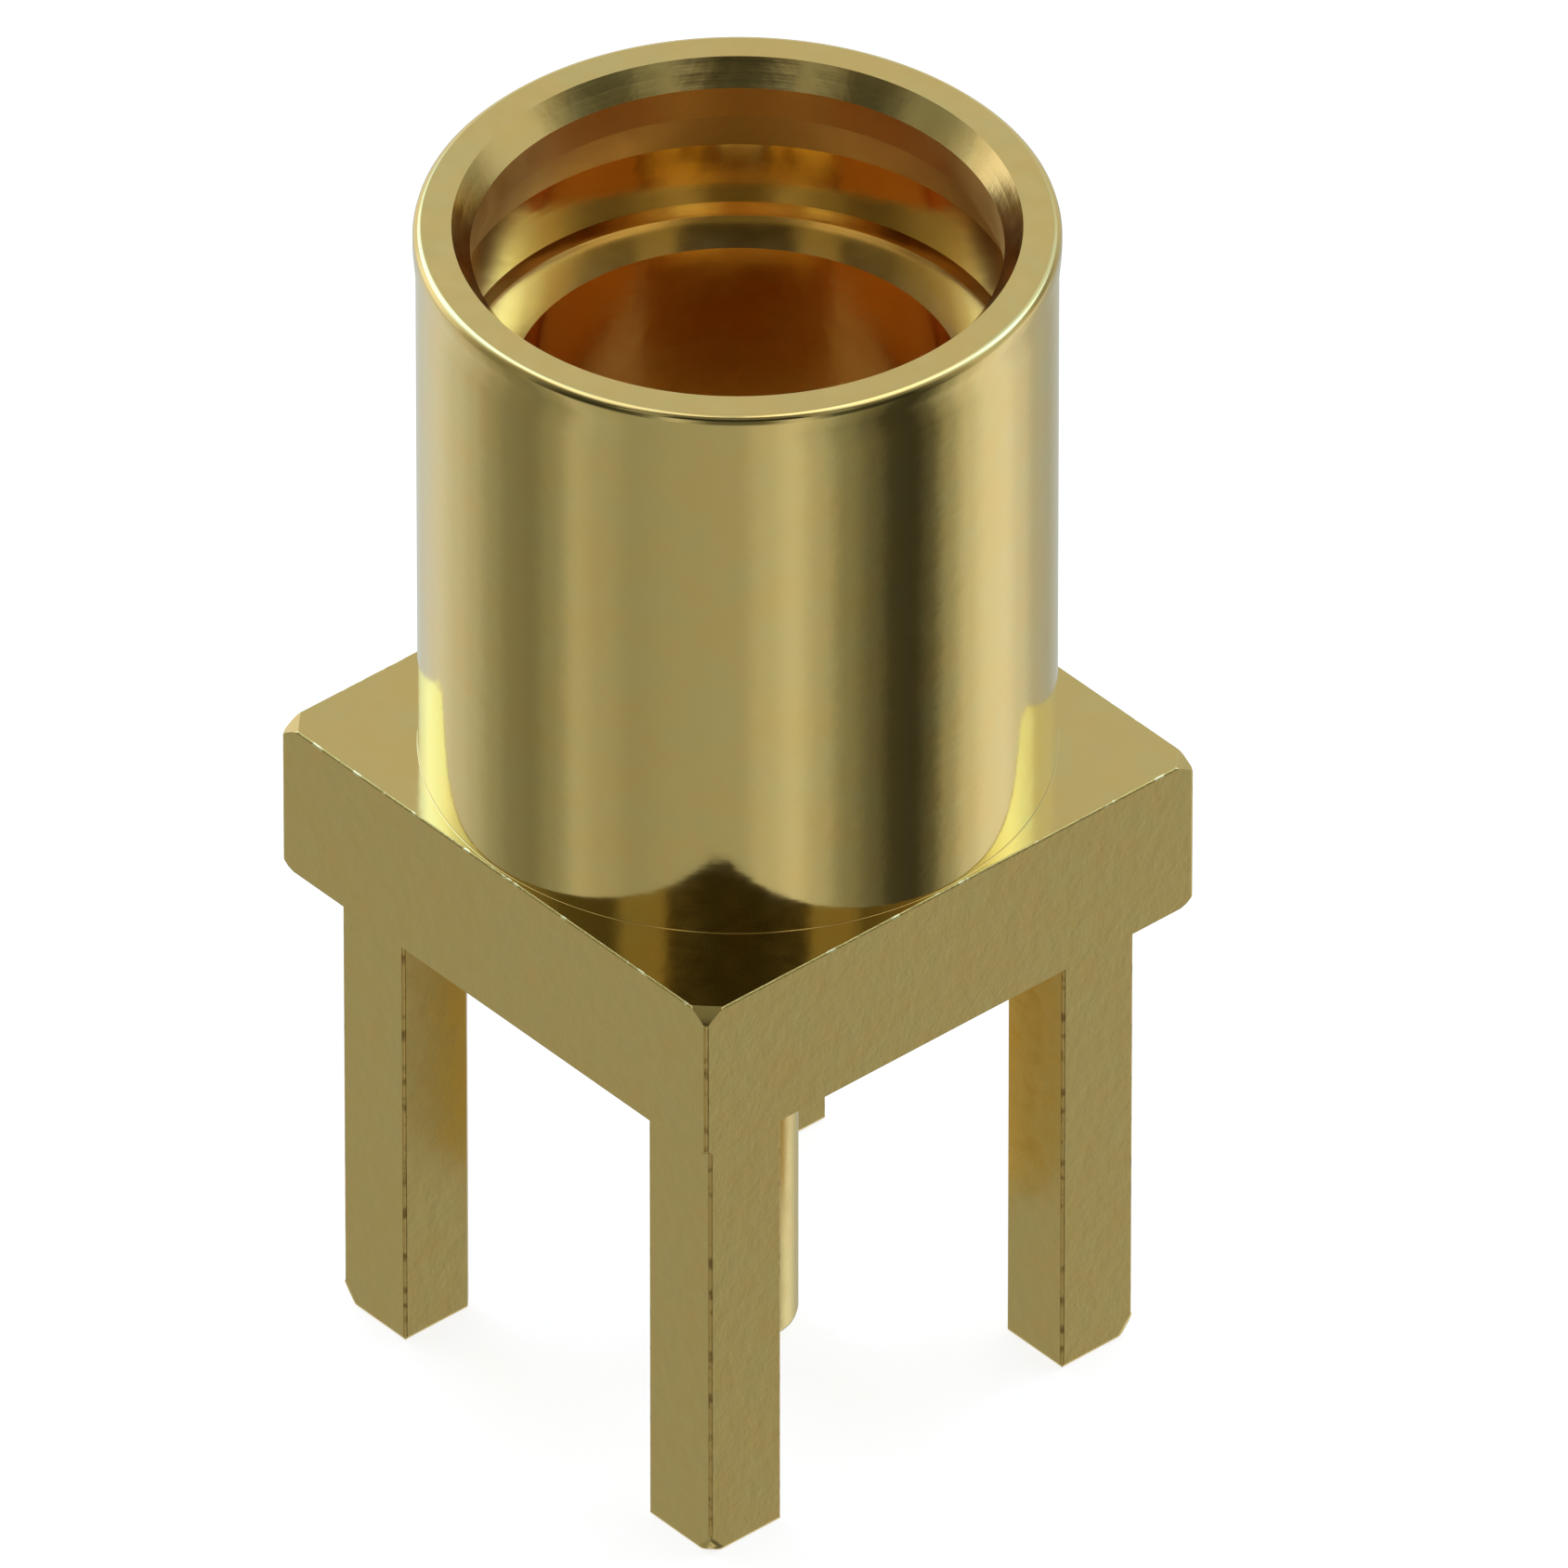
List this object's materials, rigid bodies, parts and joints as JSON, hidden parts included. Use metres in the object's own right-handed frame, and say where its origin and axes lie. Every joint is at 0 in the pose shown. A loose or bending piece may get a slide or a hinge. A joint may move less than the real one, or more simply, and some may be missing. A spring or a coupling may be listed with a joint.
{
  "type": "coaxial circuit board socket",
  "caption": "Push-in coaxial socket that stands upright on a circuit board: a round barrel on a square base with square solder legs and a round centre tail.",
  "frame": {"origin": "on the barrel's axis, in the plane of the base's underside, which sits on the circuit board", "axes": "+Z along the barrel's axis towards its open mouth; X and Y square to the base's sides"},
  "size_m": [0.0036, 0.0036, 0.0074],
  "materials": {
    "gold_plated_brass": "satin",
    "ptfe": "matte",
    "gold_contact": "satin"
  },
  "bodies": {
    "root": {"outer_body": "gold_plated_brass", "insulator_bead": "ptfe", "centre_contact": "gold_contact"}
  },
  "joints": []
}
